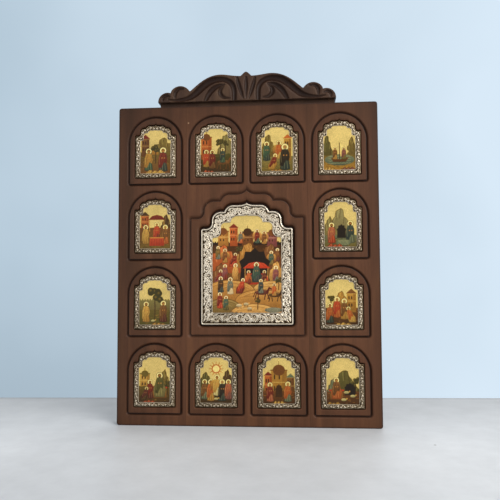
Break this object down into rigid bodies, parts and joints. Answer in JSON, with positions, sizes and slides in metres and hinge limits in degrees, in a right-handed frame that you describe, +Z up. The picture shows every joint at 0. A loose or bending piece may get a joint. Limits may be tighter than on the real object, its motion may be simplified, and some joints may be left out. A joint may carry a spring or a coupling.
{
  "type": "icon board",
  "caption": "Carved wooden icon board with a scrolled crest, arched niches holding small pictures under embossed silver covers round a larger one, and a hanging ring behind.",
  "frame": {"origin": "middle of the board's flat bottom edge, at half the board's thickness", "axes": "+X to the viewer's right, +Y away from the viewer through the board, +Z up; the pictures face -Y"},
  "size_m": [0.3, 0.0264, 0.4069],
  "materials": {
    "walnut": "walnut-stained, satin lacquered, vertical grain",
    "dowel_wood": "plain turned beech",
    "printed_panel": "thin wooden panel with a varnished print on a gold ground",
    "silver_plate": "embossed silver-plated sheet, oxidised in the hollows",
    "brass": "satin brass, slightly dulled"
  },
  "bodies": {
    "icon_board": {"board": "walnut", "crest": "walnut", "crest_dowel_left": "dowel_wood", "crest_dowel_right": "dowel_wood", "center_panel": "printed_panel", "feast_panel_01": "printed_panel", "feast_panel_02": "printed_panel", "feast_panel_03": "printed_panel", "feast_panel_04": "printed_panel", "feast_panel_05": "printed_panel", "feast_panel_06": "printed_panel", "feast_panel_07": "printed_panel", "feast_panel_08": "printed_panel", "feast_panel_09": "printed_panel", "feast_panel_10": "printed_panel", "feast_panel_11": "printed_panel", "feast_panel_12": "printed_panel", "center_cover": "silver_plate", "feast_cover_01": "silver_plate", "feast_cover_02": "silver_plate", "feast_cover_03": "silver_plate", "feast_cover_04": "silver_plate", "feast_cover_05": "silver_plate", "feast_cover_06": "silver_plate", "feast_cover_07": "silver_plate", "feast_cover_08": "silver_plate", "feast_cover_09": "silver_plate", "feast_cover_10": "silver_plate", "feast_cover_11": "silver_plate", "feast_cover_12": "silver_plate", "hanger_strap": "brass", "hanger_screw_lower": "brass", "hanger_screw_upper": "brass"},
    "ring": {"hanger_ring": "brass"}
  },
  "joints": [
    {"name": "ring_swing", "type": "hinge", "parent": "icon_board", "child": "ring", "pos_m": [0, 0.0129, 0.3294], "axis": [1, 0, 0], "range_deg": [0, 180]}
  ]
}
